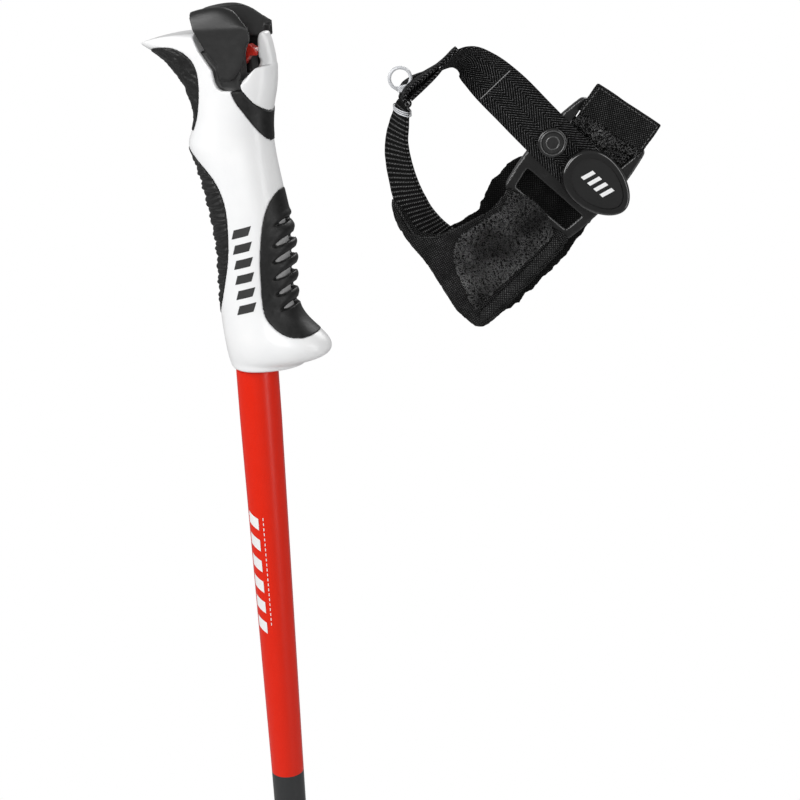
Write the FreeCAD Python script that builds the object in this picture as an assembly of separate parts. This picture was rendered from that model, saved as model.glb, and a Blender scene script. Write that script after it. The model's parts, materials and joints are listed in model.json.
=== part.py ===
import FreeCAD, Part
import math
import os

# Ski pole with a release grip and a detachable hand strap.  Millimetres, +Z up the shaft,
# -X towards the fingers (beak side), +X towards the palm.  Origin: lowest point of the tip.

# ---------------------------------------------------------------- driving dimensions
OVERALL = 1200.0              # tip to the top of the release cap
CAP_TOP = 151.4               # top of the cap above the grip's lower end
GRIP_BASE = OVERALL - CAP_TOP  # height where the grip meets the shaft
SHAFT_TOP_R = 9.0             # shaft radius under the grip
SHAFT_WALL = 1.0
SHAFT_IN_GRIP_R = 8.6         # tube radius inside the grip, necked down at the grip's foot
SHAFT_IN_GRIP = 95.0          # length of tube held inside the grip
SHAFT_END = 46.0              # lower end of the tube
CLIP_LENGTH = 24.0            # straight stretch of tube under the grip
SKIN = 2.4                    # thickness of the grip's outer shell over its core
PAD_PROUD = 0.35              # rubber pads stand this far out of the shell
RUN = 0.05                    # radial clearance of a running fit
CAP_TRAVEL = 3.0
DRIVER_FOOT = 132.6           # the cap's driver ends just above the latch's tail
BLOCK_TOP = 134.4             # top of the core under the release cap, above GRIP_BASE
CAP_FLOOR = 138.2             # underside of the cap's roof
STEM_X = -9.5
HORN_PIN_AT = (12.0, 117.6)
HORN_PIN_R = 1.25
HOOK_WAIST_X = 15.16          # the hooked loop lies round a slightly rounded waist of the hook
HORN_PIN_HALF = 7.2
STOP_PIN_Z = 122.0
STOP_PIN_R = 0.75
STOP_PIN_HALF = 7.0
LATCH_PIN_HALF = 8.0
STEM_R = 2.2
LATCH_AT = (2.5, 129.5)       # x and height of the latch pivot
LATCH_HALF = 2.1
PIN_R = 1.0
BASKET_R = 29.0
STRAP_TURN = 24.0             # the strap hangs in a vertical plane turned this far from +X
STRAP_DEPTH = 9.8             # distance of that plane from the shaft axis
SWIVEL_AT = (67.2, 111.0)     # strap swivel pin in the strap plane
WEB_WIDTH = 20.0              # webbing width
WEB_THICK = 1.4
LOOP_ROOM_R = 15.6            # the webbing is slit this far from the swivel so the loop can turn
LOOP_ROOM_HALF = 1.5
LOOP_HOLE_R = 3.6             # inside radius of the cord loop

# grip sections: height, front x, rear x, half width, x of the widest place, nose sharpness
GRIP_ROWS = [
    (1.6, -9.4, 13.0, 12.2, 1.0, 1.0),
    (4.0, -10.9, 22.6, 13.4, 4.0, 1.0),
    (7.0, -11.6, 30.6, 14.6, 6.0, 1.0),
    (10.5, -12.1, 33.9, 15.3, 6.5, 1.0),
    (14.0, -12.5, 32.9, 15.4, 6.0, 1.0),
    (18.0, -12.9, 28.6, 15.1, 5.0, 1.0),
    (24.0, -13.3, 22.4, 14.6, 4.0, 1.0),
    (32.0, -13.3, 19.7, 14.1, 3.2, 1.0),
    (43.0, -12.9, 19.9, 14.0, 3.4, 1.0),
    (53.0, -12.9, 20.2, 14.0, 3.6, 1.0),
    (63.0, -13.9, 19.3, 14.0, 2.8, 1.0),
    (74.0, -15.8, 17.5, 13.8, 1.0, 1.0),
    (84.0, -18.1, 15.9, 13.4, -1.0, 1.0),
    (91.0, -20.6, 14.9, 13.1, -2.4, 1.05),
    (95.5, -22.2, 14.5, 12.9, -3.2, 1.1),
    (100.0, -20.9, 14.3, 12.8, -3.0, 1.05),
    (106.0, -18.6, 14.6, 12.8, -2.0, 1.0),
    (112.5, -19.3, 15.8, 12.9, -1.8, 1.05),
    (118.5, -21.6, 17.3, 13.0, -1.6, 1.1),
    (125.0, -25.9, 18.1, 13.1, -1.6, 1.2),
    (131.0, -32.0, 18.2, 13.1, -1.6, 1.3),
    (134.6, -37.8, 17.8, 13.0, -1.6, 1.3),
    (136.8, -40.8, 17.4, 12.6, -1.6, 1.3),
    (138.8, -40.6, 17.0, 11.8, -1.6, 1.3),
    (140.5, -38.0, 16.0, 10.4, -1.6, 1.3),
    (141.8, -33.0, 14.0, 8.2, -1.6, 1.2),
]


# ---------------------------------------------------------------- small helpers
def vec(x, y, z):
    return FreeCAD.Vector(x, y, z)


def spline_edge(points, closed=False):
    curve = Part.BSplineCurve()
    curve.interpolate(Points=points, PeriodicFlag=closed)
    return curve.toShape()


def poly_face(points):
    return Part.Face(Part.makePolygon(points + [points[0]]))


def side_face(outline, level):
    """Face in the XZ plane at y = level, from a list of (x, z) corners above GRIP_BASE."""
    return poly_face([vec(x, level, GRIP_BASE + z) for x, z in outline])


def side_prism(outline, y_from, y_to):
    return side_face(outline, y_from).extrude(vec(0, y_to - y_from, 0))


def curved_prism(curve, corners, half=40.0):
    """Prism across Y whose outline is a smooth curve closed by straight corners."""
    smooth = [vec(x, -half, GRIP_BASE + z) for x, z in curve]
    straight = [vec(x, -half, GRIP_BASE + z) for x, z in [curve[-1]] + corners + [curve[0]]]
    wire = Part.Wire([spline_edge(smooth)] + Part.makePolygon(straight).Edges)
    return Part.Face(wire).extrude(vec(0, 2 * half, 0))


def box(x0, x1, y0, y1, z0, z1):
    return Part.makeBox(x1 - x0, y1 - y0, z1 - z0, vec(x0, y0, GRIP_BASE + z0))


def cross_pin(x, z, radius, half_length):
    return Part.makeCylinder(radius, 2 * half_length, vec(x, -half_length, GRIP_BASE + z), vec(0, 1, 0))


def upright(x, radius, z0, z1):
    return Part.makeCylinder(radius, z1 - z0, vec(x, 0, GRIP_BASE + z0))


def turned(profile):
    """Solid of revolution about the shaft axis from (radius, height) corners."""
    return poly_face([vec(r, 0, z) for r, z in profile]).revolve(vec(0, 0, 0), vec(0, 0, 1), 360)


def coil(foot, coil_r, wire_r, pitch, height):
    """Upright wire spring standing on foot."""
    helix = Part.makeHelix(pitch, height, coil_r)
    ring = Part.Wire(Part.makeCircle(wire_r, vec(coil_r, 0, 0), vec(0, 1, 0)))
    spring = Part.Wire(helix.Edges).makePipeShell([ring], True, True)
    spring.translate(foot)
    return spring


def rounded(solid, radius, edges):
    """Fillet the chosen edges, keeping the sharp solid if the kernel cannot."""
    try:
        result = solid.makeFillet(radius, edges)
    except Part.OCCError:
        return solid
    return result if result.isValid() and result.Volume > 0 else solid


def biggest(shape):
    return max(shape.Solids, key=lambda solid: solid.Volume)


# ---------------------------------------------------------------- grip body
def grip_section(row, inset):
    height, front, rear, half, widest, sharp = row
    points = []
    for step in range(28):
        turn = 2 * math.pi * step / 28
        along = math.cos(turn)
        across = math.sin(turn)
        reach = rear - widest - inset if along > 0 else widest - front - inset
        power = sharp if along < 0 else 1.0
        y = math.copysign((half - inset) * abs(across) ** power, across)
        points.append(vec(widest + reach * along, y, GRIP_BASE + height))
    return Part.Wire(spline_edge(points, closed=True))


def grip_form(inset, first=0, last=len(GRIP_ROWS)):
    sections = [grip_section(row, inset) for row in GRIP_ROWS[first:last]]
    return Part.makeLoft(sections, True, False)


def under_brow():
    """Everything below the sloping top of the beak."""
    brow = [(-45, 134.6), (-40.6, 136.5), (-35, 138.2), (-28, 139.7), (-20, 140.7), (-12, 141.2), (0, 141.2)]
    return curved_prism(brow, [(45, 141.2), (45, -10), (-45, -10)])


BEAK_ZONE = [(-36.4, 133.0), (-33.5, 134.6), (-28.0, 135.6), (-22.8, 135.7), (-17.5, 134.2), (-13.6, 131.2),
             (-11.6, 127.0), (-11.2, 121.5), (-12.3, 114.5), (-14.3, 108.2), (-17.5, 102.0)]
FINGER_ZONE = [(-25.0, 96.5), (-18.4, 92.6), (-14.4, 89.4), (-9.8, 85.6), (-6.2, 81.0), (-3.6, 74.5),
               (-2.7, 67.0), (-3.0, 58.0), (-4.2, 49.0), (-6.6, 40.0), (-9.4, 31.8), (-14.5, 22.0)]
PALM_ZONE = [(24.0, 87.0), (20.0, 81.8), (16.2, 77.0), (13.2, 70.0), (11.4, 60.0), (10.4, 50.0), (10.0, 38.0),
             (10.2, 31.0), (11.6, 25.6), (14.6, 21.6), (19.0, 18.4), (24.0, 17.0), (28.4, 17.4), (31.6, 19.6),
             (34.0, 24.0)]
WEB_FRONT = [(3.4, 128.0), (3.1, 123.0), (3.2, 119.2), (4.2, 115.6), (7.0, 110.6), (11.0, 103.2),
             (14.2, 98.0), (17.2, 94.4), (21.0, 92.0)]
HORN_FRONT = [(6.9, 122.4), (7.0, 120.4), (8.4, 117.6), (11.6, 113.1), (14.9, 109.8), (17.4, 107.4),
              (22.0, 105.4)]
HORN_TOP = [(30, 105.4), (30, 128.3), (15.1, 128.3), (12.8, 127.9), (10.8, 126.0), (8.6, 124.0)]


def front_zone(curve):
    return curved_prism(curve, [(-60, curve[-1][1]), (-60, curve[0][1])])


def rear_zone(curve):
    return curved_prism(curve, [(60, curve[-1][1]), (60, curve[0][1])])


def horn_zone():
    """The hook's foot, seen from the side."""
    return curved_prism(HORN_FRONT, HORN_TOP)


def palm_slot(x, z):
    """One lens-shaped vent, rising towards the palm and open at the back."""
    upper = [(x, z), (x + 1.2, z + 1.5), (x + 3.4, z + 3.2), (x + 6.2, z + 4.8), (x + 13.0, z + 8.2)]
    lower = [(x + 13.0, z + 5.6), (x + 6.2, z + 2.0), (x + 3.0, z + 0.6)]
    return side_prism(upper + lower, -30, 30)


PALM_SLOTS = [(15.6, 63.4), (14.8, 55.0), (14.4, 48.2), (14.2, 41.2), (14.6, 34.3), (16.2, 28.0)]
WING = [(-11.0, 142.4), (-8.6, 138.2), (-6.5, 134.7), (-4.2, 131.7), (-2.3, 129.5), (-1.9, 126.6),
        (-1.2, 124.0), (0.1, 123.2), (2.8, 123.3), (4.9, 124.2), (6.3, 126.0), (8.3, 128.4), (9.6, 131.5),
        (10.9, 136.4), (12.2, 139.0), (12.4, 142.4)]


def wing_pocket():
    """Room for a cap wing and its travel, open at the back."""
    room = [(-12.6, 145), (-12.6, 140.4), (-9.4, BLOCK_TOP), (-6.8, 130.6), (-4.4, 127.2), (-3.8, 122.8),
            (-2.6, 120.2), (-0.4, 119.2), (6.9, 119.2), (30, 119.2), (30, 145)]
    near = side_prism(room, -20, -9.9)
    far = side_prism(room, 9.9, 20)
    return near.fuse(far)


def stem_well():
    spring_room = upright(STEM_X, 3.9, 127.0, 150)
    return spring_room.fuse(upright(STEM_X, STEM_R + RUN, 112.0, 128.0))


def latch_room():
    return box(-5.6, 30, -LATCH_HALF - 0.3, LATCH_HALF + 0.3, 124.6, 150)


def shaft_bore():
    return Part.makeCylinder(SHAFT_IN_GRIP_R, SHAFT_IN_GRIP + 12, vec(0, 0, GRIP_BASE - 6))


def open_back():
    """The hook slot: nothing of the core or shell stands here."""
    return box(6.6, 40, -30, 30, 119.2, 160)


def build_core():
    core = grip_form(SKIN, 1, len(GRIP_ROWS) - 1)
    core = core.common(box(-22.5, 40, -30, 30, 5.0, BLOCK_TOP))
    core = core.cut(shaft_bore()).cut(stem_well()).cut(latch_room()).cut(wing_pocket()).cut(open_back())
    horn_seat = horn_zone().fuse(side_prism([(9.4, 105), (30, 105), (30, 125), (9.4, 125)], -4.2, 4.2))
    core = core.cut(horn_seat)
    core = core.cut(cross_pin(*LATCH_AT, PIN_R, LATCH_PIN_HALF))
    core = core.cut(cross_pin(STEM_X, STOP_PIN_Z, STOP_PIN_R, STOP_PIN_HALF))
    return biggest(core)


def build_horn(whole):
    foot = whole.common(horn_zone())
    foot = foot.cut(wing_rear_clearance())
    finger = side_prism([(11.7, 120.0), (11.7, 138.6), (12.6, 140.6), (14.2, 141.4), (15.6, 140.8),
                         (16.7, 137.4), (17.6, 132.6), (18.1, 128.0), (18.0, 123.0), (17.2, 118.0)],
                        -3.1, 3.1)
    finger = rounded(finger, 1.5, [edge for edge in finger.Edges if not edge_across(edge)])
    tenon = box(9.6, 15.0, -4.0, 4.0, 111.0, 122.0)
    horn = foot.fuse(finger).fuse(tenon.common(grip_form(SKIN + 0.4)))
    waist = box(6.6, 40, -30, 30, 128.4, 131.0).cut(upright(HOOK_WAIST_X, LOOP_HOLE_R - 0.2, 128.0, 132.0))
    return biggest(horn.cut(waist).cut(cross_pin(*HORN_PIN_AT, HORN_PIN_R, HORN_PIN_HALF)))


def edge_across(edge):
    """True for an edge that runs along Y."""
    run = edge.valueAt(edge.LastParameter) - edge.valueAt(edge.FirstParameter)
    return abs(run.y) > 0.9 * run.Length if run.Length > 0 else False


def wing_rear_clearance():
    outline = [(4, 119.2), (9.2, 123.4), (12.4, 127.0), (13.6, 130), (4, 130)]
    return side_prism(outline, -20, -10).fuse(side_prism(outline, 10, 20))


def build_grip():
    whole = grip_form(0.0).common(under_brow())
    proud = grip_form(-PAD_PROUD).common(under_brow())
    core = build_core()
    horn = build_horn(whole)
    web_zone = rear_zone(WEB_FRONT).cut(horn_zone()).common(box(0, 60, -30, 30, 90, 123.4))
    beak_zone = front_zone(BEAK_ZONE)
    finger_zone = front_zone(FINGER_ZONE)
    palm_zone = rear_zone(PALM_ZONE)
    inner = grip_form(SKIN, 1, len(GRIP_ROWS) - 1)
    inner = inner.common(box(-60, 60, -30, 30, 5.0, 134.4))
    shell = whole.cut(inner.common(box(-22.5, 40, -30, 30, 0, BLOCK_TOP)))
    for zone in (beak_zone, finger_zone, palm_zone, web_zone, horn_zone()):
        shell = shell.cut(zone)
    roof = [(-12.6, 160), (-12.6, 140.4), (-9.4, BLOCK_TOP), (60, BLOCK_TOP), (60, 160)]
    roof_cut = side_prism(roof, -30, 30)
    shell = shell.cut(roof_cut).cut(wing_pocket()).cut(open_back()).cut(shaft_bore()).cut(latch_room())
    shell = shell.cut(stem_well())
    pads = {}
    skin_zone = proud.cut(inner)
    pads["beak_pad"] = biggest(skin_zone.common(beak_zone))
    pads["finger_pad"] = biggest(skin_zone.common(finger_zone))
    palm = skin_zone.common(palm_zone)
    for slot in PALM_SLOTS:
        palm = palm.cut(palm_slot(*slot))
    pads["palm_pad"] = biggest(palm)
    web = skin_zone.common(web_zone).cut(wing_pocket()).cut(horn)
    pads["web_pad"] = biggest(web)
    return {"grip_shell": biggest(shell), "grip_core": core, "hook_horn": horn, **pads}


# cap cross-sections: x, outer crease height, ridge height, mid height
CAP_ROWS = [
    (-14.2, 143.6, 149.4, 149.2),
    (-9.0, 143.4, 150.7, 150.3),
    (-4.0, 143.6, CAP_TOP, 150.6),
    (1.0, 143.8, 151.2, 149.6),
    (6.0, 144.1, 149.4, 147.4),
    (10.5, 144.2, 146.8, 145.3),
    (13.2, 143.6, 144.6, 143.9),
]
CAP_HALF = 12.6
RIDGE_Y = 7.6


def cap_section(row):
    x, crease, ridge, middle = row
    heights = [(-CAP_HALF, crease), (-11.4, crease + 0.42 * (ridge - crease)), (-RIDGE_Y, ridge),
               (-3.6, 0.35 * ridge + 0.65 * middle), (0, middle)]
    mirrored = [(-y, z) for y, z in reversed(heights[:-1])]
    top = spline_edge([vec(x, y, GRIP_BASE + z) for y, z in heights + mirrored])
    foot = Part.makePolygon([vec(x, CAP_HALF, GRIP_BASE + crease), vec(x, CAP_HALF, GRIP_BASE + CAP_FLOOR),
                             vec(x, -CAP_HALF, GRIP_BASE + CAP_FLOOR), vec(x, -CAP_HALF, GRIP_BASE + crease)])
    return Part.Wire([top] + foot.Edges)


def build_cap():
    """Saddle-shaped release cap: two lobes, side wings, a guide stem and the latch driver."""
    body = Part.makeLoft([cap_section(row) for row in CAP_ROWS], True, False)
    front_slope = side_prism([(-30, CAP_FLOOR - 1), (-30, 160), (-14.4, 160), (-14.1, 149.4), (-11.2, 142.8),
                              (-8.6, CAP_FLOOR - 0.2), (-8.6, CAP_FLOOR - 1)], -20, 20)
    body = body.cut(front_slope)
    notch = poly_face([vec(-6.4, 0, GRIP_BASE + 130), vec(16, 14.6, GRIP_BASE + 130),
                       vec(16, -14.6, GRIP_BASE + 130)]).extrude(vec(0, 0, 30))
    notch = notch.cut(box(-8, -1.6, -4, 4, CAP_FLOOR, CAP_FLOOR + 1.8))
    body = body.cut(notch)
    for y_out, y_in in ((-CAP_HALF, -10.4), (10.4, CAP_HALF)):
        body = body.fuse(side_prism(WING, y_out, y_in))
    stem = upright(STEM_X, STEM_R, 116.5, CAP_FLOOR + 0.5)
    slot_foot = STOP_PIN_Z - STOP_PIN_R - RUN
    slot_top = STOP_PIN_Z + STOP_PIN_R + RUN + CAP_TRAVEL
    slot = box(STEM_X - 0.8, STEM_X + 0.8, -4, 4, slot_foot, slot_top)
    driver = box(-4.5, -2.3, -2.0, 2.0, DRIVER_FOOT, CAP_FLOOR + 0.5)
    cap = body.fuse(stem.cut(slot)).fuse(driver)
    return biggest(cap)


def build_latch():
    px, pz = LATCH_AT
    outline = [(px - 1.8, pz - 2.0), (px + 1.8, pz - 2.2), (px + 3.4, pz - 0.6), (px + 5.4, pz + 2.2),
               (px + 8.6, pz + 2.2), (px + 8.9, pz + 3.4), (px + 7.6, pz + 5.2), (px + 5.2, pz + 6.7),
               (px + 2.6, pz + 6.2), (px + 0.8, pz + 3.4), (px - 1.6, pz + 2.4), (px - 6.2, pz + 2.4),
               (px - 6.4, pz + 1.2), (px - 2.6, pz - 0.4)]
    body = side_prism(outline, -LATCH_HALF, LATCH_HALF)
    body = rounded(body, 0.4, [edge for edge in body.Edges if edge_across(edge)])
    return body.cut(cross_pin(px, pz, PIN_R + RUN, 8))


def build_release():
    return {
        "release_cap": build_cap(),
        "cap_spring": coil(vec(STEM_X, 0, GRIP_BASE + 127.6), 3.0, 0.45, 2.6, 10.0),
        "cap_stop_pin": cross_pin(STEM_X, STOP_PIN_Z, STOP_PIN_R, STOP_PIN_HALF),
        "latch": build_latch(),
        "latch_pin": cross_pin(*LATCH_AT, PIN_R, LATCH_PIN_HALF),
        "horn_pin": cross_pin(*HORN_PIN_AT, HORN_PIN_R, HORN_PIN_HALF),
    }


# ---------------------------------------------------------------- shaft and tip
def build_shaft():
    top = GRIP_BASE + SHAFT_IN_GRIP
    outer = [(SHAFT_IN_GRIP_R, top), (SHAFT_IN_GRIP_R, GRIP_BASE), (SHAFT_TOP_R, GRIP_BASE),
             (SHAFT_TOP_R, GRIP_BASE - CLIP_LENGTH), (7.35, GRIP_BASE - 195), (6.3, 640), (5.5, 330),
             (5.25, SHAFT_END)]
    inner = [(5.25 - SHAFT_WALL, SHAFT_END), (5.5 - SHAFT_WALL, 330), (6.3 - SHAFT_WALL, 640),
             (7.35 - SHAFT_WALL, GRIP_BASE - 195), (SHAFT_IN_GRIP_R - SHAFT_WALL, GRIP_BASE - CLIP_LENGTH),
             (SHAFT_IN_GRIP_R - SHAFT_WALL, top)]
    tube = turned(outer + inner)
    plug_r = SHAFT_IN_GRIP_R - SHAFT_WALL
    plug = turned([(0, top - 9), (plug_r, top - 9), (plug_r, top), (SHAFT_IN_GRIP_R, top),
                   (SHAFT_IN_GRIP_R, top + 1.5), (0, top + 1.5)])
    return {"shaft_tube": tube, "shaft_plug": plug}


def build_tip():
    """Plastic ferrule over the tube, a carbide crown in its end, and a screwed-on basket."""
    ferrule = turned([(3.0, 12), (4.4, 12), (5.6, 24), (6.6, 40), (6.9, 52), (6.9, 70.2), (7.7, 70.6),
                      (7.7, 72.4), (6.8, 73.0), (6.4, 90), (5.75, 104), (5.45, 104), (5.3, SHAFT_END),
                      (0, SHAFT_END), (0, 30), (3.0, 30)])
    crown = turned([(0, 30), (3.0, 30), (3.0, 12), (4.1, 12), (4.1, 7), (3.3, 0), (0, 0)])
    for step in range(6):
        notch = Part.makeBox(6, 1.0, 1.4, vec(1.4, -0.5, -0.1))
        notch.rotate(vec(0, 0, 0), vec(0, 0, 1), 60 * step)
        crown = crown.cut(notch)
    disc = turned([(6.9 + RUN, 54), (9.4, 54), (9.8, 57.5), (BASKET_R - 2, 51.6), (BASKET_R, 51.2),
                   (BASKET_R, 53.4), (BASKET_R - 2, 54.4), (10.4, 60.6), (9.2, 66), (6.9 + RUN, 66)])
    for step in range(8):
        window = Part.makeCylinder(3.4, 20, vec(17.6, 0, 48))
        window.rotate(vec(0, 0, 0), vec(0, 0, 1), 45 * step)
        disc = disc.cut(window)
    locknut = turned([(6.9 + RUN, 66.2), (8.5, 66.2), (8.5, 69.0), (7.6, 69.8), (6.9 + RUN, 69.8)])
    return {"tip_ferrule": ferrule, "carbide_tip": crown, "basket": disc, "basket_collar": locknut}


# ---------------------------------------------------------------- strap
# The strap is drawn in its own frame: x to the right in the hanging plane, y up from
# GRIP_BASE, z towards the viewer's side, then placed by strap_placement().
def strap_placement():
    turn = math.radians(STRAP_TURN)
    right = vec(math.cos(turn), math.sin(turn), 0)
    near = vec(math.sin(turn), -math.cos(turn), 0)
    matrix = FreeCAD.Matrix(right.x, 0, near.x, near.x * STRAP_DEPTH,
                            right.y, 0, near.y, near.y * STRAP_DEPTH,
                            0, 1, 0, GRIP_BASE,
                            0, 0, 0, 1)
    return FreeCAD.Placement(matrix)


def placed(shape):
    moved = shape.copy()
    moved.Placement = strap_placement().multiply(moved.Placement)
    return moved


def slab(outline, z0, z1):
    return poly_face([vec(x, y, z0) for x, y in outline]).extrude(vec(0, 0, z1 - z0))


def smooth_slab(outline, z0, z1):
    edge = spline_edge([vec(x, y, z0) for x, y in outline], closed=True)
    return Part.Face(Part.Wire(edge)).extrude(vec(0, 0, z1 - z0))


def ribbon(stations, width, thick):
    """Flat band swept through (x, y, z, roll) stations; roll 0 stands edge-on, 90 lies face-on."""
    sections = []
    count = len(stations)
    for index, (x, y, z, roll) in enumerate(stations):
        before = stations[max(index - 1, 0)]
        after = stations[min(index + 1, count - 1)]
        along = vec(after[0] - before[0], after[1] - before[1], 0).normalize()
        flat = vec(-along.y, along.x, 0)
        angle = math.radians(roll)
        across = vec(0, 0, 1) * math.cos(angle) + flat * math.sin(angle)
        through = along.cross(across)
        centre = vec(x, y, z)
        corners = [centre + across * (width / 2 * a) + through * (thick / 2 * b)
                   for a, b in ((-1, -1), (1, -1), (1, 1), (-1, 1))]
        sections.append(Part.makePolygon(corners + [corners[0]]))
    return Part.makeLoft(sections, True, True)


THUMB_PATH = [(69.6, 113.6, 0.0, 0), (75.0, 118.0, 0.0, 0), (81.0, 121.8, 0.4, 8), (87.0, 125.6, 1.4, 24),
              (92.5, 125.6, 3.0, 44), (97.5, 121.8, 4.8, 60), (103.2, 116.2, 6.2, 74),
              (110.0, 109.2, 7.0, 86), (117.0, 101.4, 7.1, 90), (126.0, 91.6, 7.1, 90), (135.0, 82.2, 7.1, 90), (141.0, 76.0, 7.1, 90)]
BAND_PATH = [(66.2, 108.2, 0.0, 8), (64.8, 103.0, 0.0, 14), (63.4, 97.0, 0.0, 20), (63.0, 91.0, 0.0, 26),
             (63.6, 84.0, 0.2, 32), (65.2, 77.0, 0.2, 37), (67.4, 70.0, 0.1, 41), (70.2, 63.4, 0.0, 44)]
WRIST_FRONT = [(106.5, 73.6), (101.4, 67.4), (96.6, 63.6), (90.9, 61.0), (83.6, 58.0), (78.0, 56.2),
               (68.0, 57.4), (61.6, 69.0), (59.6, 72.5), (59.4, 67.0), (61.0, 61.5), (66.0, 53.0),
               (71.5, 45.4),
               (77.0, 36.4), (82.6, 25.8), (88.0, 19.2), (92.8, 15.8), (97.6, 17.4), (107.0, 25.6),
               (118.0, 35.8), (129.4, 47.6), (131.2, 50.2), (125.0, 56.0), (113.0, 68.0)]
LINING = [(100.0, 70.0), (84.0, 56.0), (72.0, 56.0), (66.5, 58.0), (68.0, 52.0), (78.5, 36.0), (84.0, 26.0),
          (89.0, 19.4), (94.5, 15.4), (101.0, 15.4), (106.4, 18.2), (113.0, 22.4), (121.0, 29.8),
          (132.0, 40.6),
          (141.0, 52.0), (146.0, 60.0), (140.0, 72.0), (122.0, 84.0)]
PATCH = [(106.0, 70.0), (99.0, 63.0), (90.5, 58.4), (84.6, 53.0), (83.6, 44.0), (87.0, 34.0), (92.4, 24.4),
         (97.0, 28.4), (109.0, 39.0), (121.0, 49.8), (124.6, 53.6)]
BINDING = [(93.6, 18.4), (96.8, 19.6), (106.6, 28.0), (117.6, 38.2), (128.4, 49.4), (125.4, 52.6),
           (114.0, 41.2), (103.0, 31.4), (93.4, 22.8)]

TAB = [(144.2, 114.4), (170.0, 95.8), (162.0, 85.0), (136.2, 104.0)]
HOOKS = [(143.6, 112.6), (168.2, 94.8), (160.5, 82.6), (150.5, 87.6), (146.0, 87.6), (134.4, 99.4)]


def build_buckle():
    """Barrel-sided frame with a broad crossbar and a slot at each end."""
    ll, ur = vec(118.1, 61.8, 0), vec(151.9, 97.0, 0)
    centre = (ll + ur) * 0.5
    axis = (ur - ll).normalize()
    side = vec(-axis.y, axis.x, 0)

    def at(a, s):
        return (centre + axis * a + side * s)

    def ring(half_long, end_half, mid_half, z0, z1):
        pts = [at(-half_long, -end_half), at(0, -mid_half), at(half_long, -end_half),
               at(half_long, end_half), at(0, mid_half), at(-half_long, end_half)]
        arc_a = Part.Arc(pts[0], pts[1], pts[2]).toShape()
        arc_b = Part.Arc(pts[3], pts[4], pts[5]).toShape()
        wire = Part.Wire([arc_a, Part.makeLine(pts[2], pts[3]), arc_b, Part.makeLine(pts[5], pts[0])])
        face = Part.Face(wire)
        face.translate(vec(0, 0, z0))
        return face.extrude(vec(0, 0, z1 - z0))

    frame = ring(24.6, 17.4, 20.4, 3.0, 6.2)
    corners = [edge for edge in frame.Edges if abs(edge.tangentAt(edge.FirstParameter).z) > 0.9]
    frame = rounded(frame, 3.0, corners)
    for a0, a1 in ((-21.0, -12.4), (12.4, 21.0)):
        hole = poly_face([at(a0, -14.0), at(a1, -15.4), at(a1, 15.4), at(a0, 14.0)])
        frame = frame.cut(hole.extrude(vec(0, 0, 10)))
    return frame


BADGE_AT = (143.2, 73.6)
SNAP_AT = (125.2, 91.6)


def egg(long_half, wide_half, z0, z1):
    """Egg outline with its narrow end down to the right."""
    points = []
    for step in range(20):
        turn = 2 * math.pi * step / 20
        along = long_half * math.cos(turn)
        across = wide_half * math.sin(turn) * (1 - 0.16 * math.cos(turn))
        root = math.sqrt(0.5)
        points.append((BADGE_AT[0] + root * (along + across), BADGE_AT[1] + root * (across - along)))
    return smooth_slab(points, z0, z1)


def build_hardware():
    badge = egg(16.0, 11.3, 8.0, 12.0)
    badge = rounded(badge, 1.2, [edge for edge in badge.Edges if edge.CenterOfMass.z > 11.9])
    badge = badge.cut(egg(12.8, 8.4, 10.9, 14))
    insert = egg(12.7, 8.3, 10.9, 11.5)
    rivet_at = (137.6, 79.2)
    rivet = Part.makeCylinder(1.8, 4.6, vec(*rivet_at, 3.4))
    snap = Part.makeCylinder(6.0, 1.9, vec(*SNAP_AT, 7.9))
    snap = rounded(snap, 0.6, [edge for edge in snap.Edges if edge.CenterOfMass.z > 9.5])
    snap = snap.cut(Part.makeCylinder(4.3, 2, vec(*SNAP_AT, 9.2)))
    snap_button = Part.makeCylinder(4.2, 0.7, vec(*SNAP_AT, 9.2))
    post = Part.makeCylinder(1.8, 4.4, vec(*SNAP_AT, 3.4))
    holes = [Part.makeCylinder(1.8 + RUN, 20, vec(*place, 3.4)) for place in (rivet_at, SNAP_AT)]
    return {"badge_cap": badge, "badge_insert": insert, "badge_rivet": rivet, "snap_cap": snap,
            "snap_button": snap_button, "snap_post": post}, holes


def build_loop():
    """Stiff cord loop that drops over the hook; a short tongue carries it to the pin."""
    px, py = SWIVEL_AT
    ring_x, ring_y = px - 1.6, py + 8.8
    outer = Part.makeCylinder(5.0, 2.0, vec(ring_x, ring_y, -1.0))
    neck = [(px - 6.2, py + 7.8), (px + 3.0, py + 7.8), (px + 2.0, py + 4.8), (px - 3.2, py + 4.8)]
    tongue = [(px - 1.2, py + 5.2), (px + 0.4, py + 5.2), (px + 0.2, py + 3.0), (px - 1.0, py + 3.0)]
    outer = outer.fuse(slab(neck, -1, 1)).fuse(slab(tongue, -1, 1))
    inner = Part.makeCylinder(LOOP_HOLE_R, 4.0, vec(ring_x, ring_y, -2.0))
    return {"clip_loop": biggest(outer.cut(inner))}


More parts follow.
